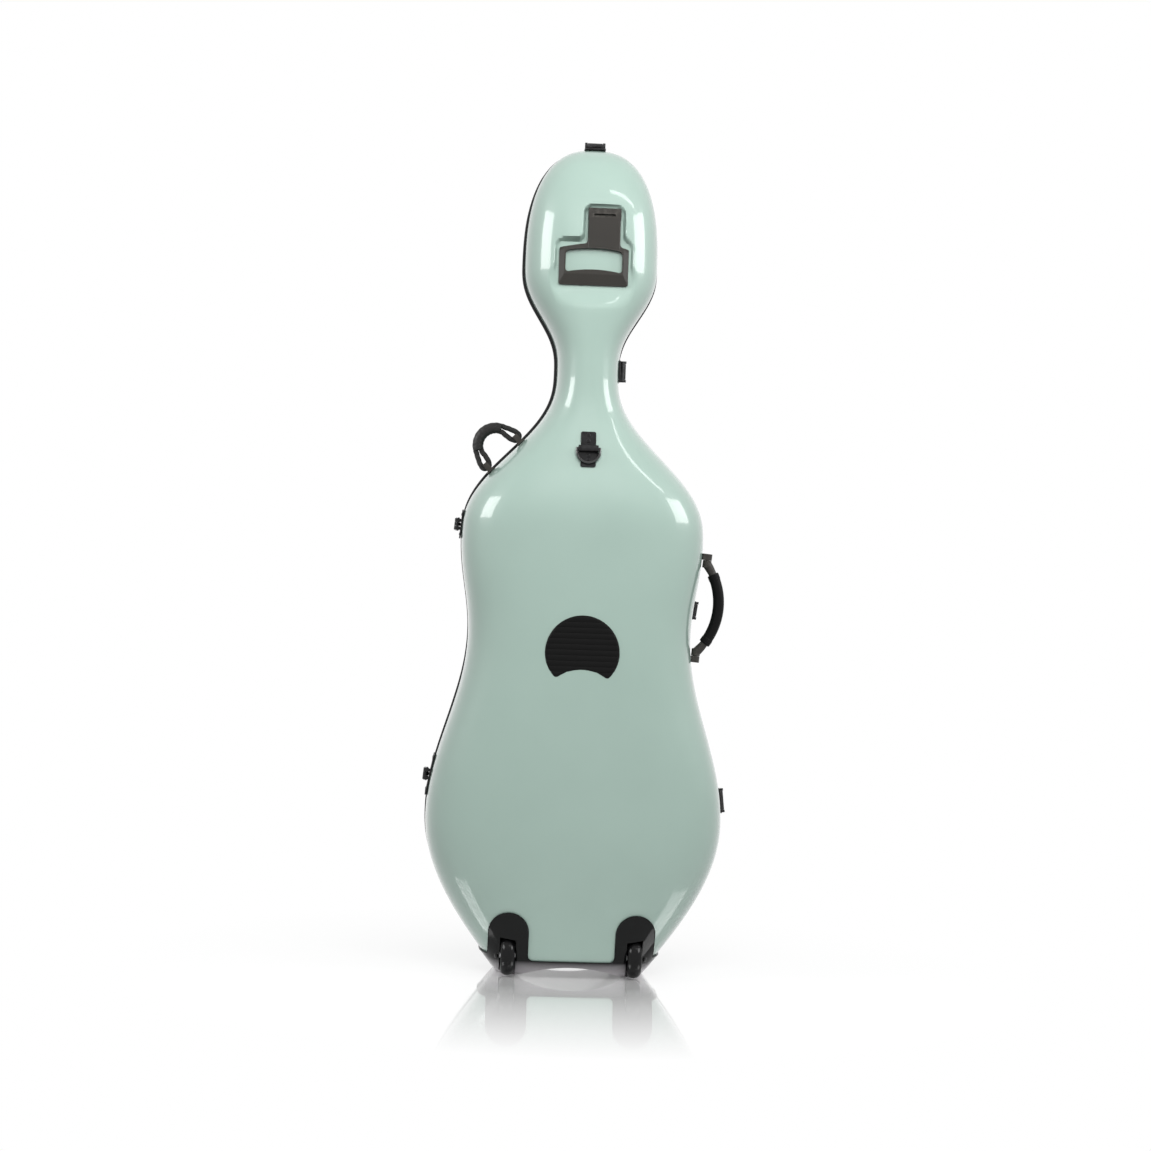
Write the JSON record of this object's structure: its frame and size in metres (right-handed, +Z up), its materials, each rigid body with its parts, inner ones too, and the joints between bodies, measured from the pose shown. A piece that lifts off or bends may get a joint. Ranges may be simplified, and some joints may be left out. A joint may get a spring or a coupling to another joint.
{
  "type": "cello case",
  "caption": "Hard-shell cello case standing on its base, with hinged lid, latches, side, shoulder and head handles, back pad, strap ring, base guard and wheels, padded inside.",
  "frame": {"origin": "middle of the case's bounding box on the floor it stands on", "axes": "+Z up to the head, +Y out of the lid's front, -Y out of the back with the wheels, +X to the side with the latches and the side handle"},
  "size_m": [0.4897, 0.2699, 1.333],
  "materials": {
    "mint_shell": "clear-coated gloss",
    "rim_rubber": "satin",
    "black_moulding": "semi-gloss",
    "black_fittings": "satin black",
    "handle_plastic": "fine grained matte",
    "wheel_tyre": "semi-gloss",
    "wheel_hub": "gloss",
    "dark_steel": "brushed",
    "ring_steel": "gloss black",
    "pad_rubber": "satin",
    "black_leather": "semi-gloss",
    "plush": "short velvet",
    "foam_cover": "short velvet",
    "webbing": "woven"
  },
  "bodies": {
    "back": {"back_shell": "mint_shell", "back_rim": "rim_rubber", "base_guard": "black_moulding", "wheel_left_axle": "dark_steel", "wheel_right_axle": "dark_steel", "hinge_low_back_leaf": "black_fittings", "hinge_low_pin": "dark_steel", "hinge_high_back_leaf": "black_fittings", "hinge_high_pin": "dark_steel", "top_latch_base": "black_fittings", "top_latch_pin": "dark_steel", "neck_latch_base": "black_fittings", "neck_latch_pin": "dark_steel", "waist_latch_base": "black_fittings", "waist_latch_pin": "dark_steel", "bout_latch_base": "black_fittings", "bout_latch_pin": "dark_steel", "head_handle_bracket": "handle_plastic", "head_handle_pin": "dark_steel", "strap_anchor_plate": "black_fittings", "strap_anchor_rivets": "black_fittings", "back_pad": "pad_rubber", "side_handle_anchors": "handle_plastic", "side_handle_pins": "dark_steel", "shoulder_handle_anchors": "handle_plastic", "shoulder_handle_loops": "black_leather", "shoulder_handle_grip": "black_leather", "back_lining": "plush", "lower_bolster": "plush", "upper_bolster": "plush", "neck_cradle": "foam_cover", "neck_strap": "webbing", "end_block": "foam_cover"},
    "lid": {"lid_shell": "mint_shell", "lid_rim": "black_moulding", "lid_guard": "black_moulding", "lid_lining": "plush", "hinge_low_lid_leaf": "black_fittings", "hinge_high_lid_leaf": "black_fittings", "top_latch_keeper": "black_fittings", "neck_latch_keeper": "black_fittings", "waist_latch_keeper": "black_fittings", "bout_latch_keeper": "black_fittings", "bow_clasps": "black_moulding", "bow_tip_pockets": "plush"},
    "top_latch": {"top_latch_lever": "black_fittings"},
    "neck_latch": {"neck_latch_lever": "black_fittings"},
    "waist_latch": {"waist_latch_lever": "black_fittings"},
    "bout_latch": {"bout_latch_lever": "black_fittings"},
    "head_handle": {"head_handle_flap": "handle_plastic"},
    "strap_ring": {"strap_anchor_ring": "ring_steel"},
    "side_handle": {"side_handle_core": "handle_plastic", "side_handle_grip": "pad_rubber"},
    "wheel_left": {"wheel_left_tyre": "wheel_tyre", "wheel_left_hub": "wheel_hub", "wheel_left_bearings": "dark_steel"},
    "wheel_right": {"wheel_right_tyre": "wheel_tyre", "wheel_right_hub": "wheel_hub", "wheel_right_bearings": "dark_steel"}
  },
  "joints": [
    {"name": "lid_hinge", "type": "hinge", "parent": "back", "child": "lid", "pos_m": [-0.23847, 0.003, 0.309], "axis": [0.0917, 0, 0.9958], "range_deg": [0, 110]},
    {"name": "top_latch_pivot", "type": "hinge", "parent": "back", "child": "top_latch", "pos_m": [0, -0.008, 1.3295], "axis": [1, 0, 0], "range_deg": [0, 100]},
    {"name": "neck_latch_pivot", "type": "hinge", "parent": "back", "child": "neck_latch", "pos_m": [0.059, -0.008, 0.96599], "axis": [-0.0014, 0, -1], "range_deg": [0, 100]},
    {"name": "waist_latch_pivot", "type": "hinge", "parent": "back", "child": "waist_latch", "pos_m": [0.18728, -0.008, 0.58527], "axis": [-0.1321, 0, -0.9912], "range_deg": [0, 100]},
    {"name": "bout_latch_pivot", "type": "hinge", "parent": "back", "child": "bout_latch", "pos_m": [0.24046, -0.008, 0.28062], "axis": [0.1127, 0, -0.9936], "range_deg": [0, 100]},
    {"name": "head_handle_pivot", "type": "hinge", "parent": "back", "child": "head_handle", "pos_m": [0.015, -0.08368, 1.202], "axis": [-1, 0, 0], "range_deg": [0, 90]},
    {"name": "strap_ring_pivot", "type": "hinge", "parent": "back", "child": "strap_ring", "pos_m": [0, -0.11117, 0.83557], "axis": [-1, 0, 0], "range_deg": [0, 140]},
    {"name": "side_handle_pivot", "type": "hinge", "parent": "back", "child": "side_handle", "pos_m": [0.19312, -0.043, 0.59], "axis": [0.0927, 0, 0.9957], "range_deg": [-75, 25]},
    {"name": "wheel_left_roll", "type": "hinge", "parent": "back", "child": "wheel_left", "pos_m": [-0.1, -0.08462, 0.034], "axis": [1, 0, 0], "continuous": true},
    {"name": "wheel_right_roll", "type": "hinge", "parent": "back", "child": "wheel_right", "pos_m": [0.1, -0.08462, 0.034], "axis": [1, 0, 0], "continuous": true}
  ]
}
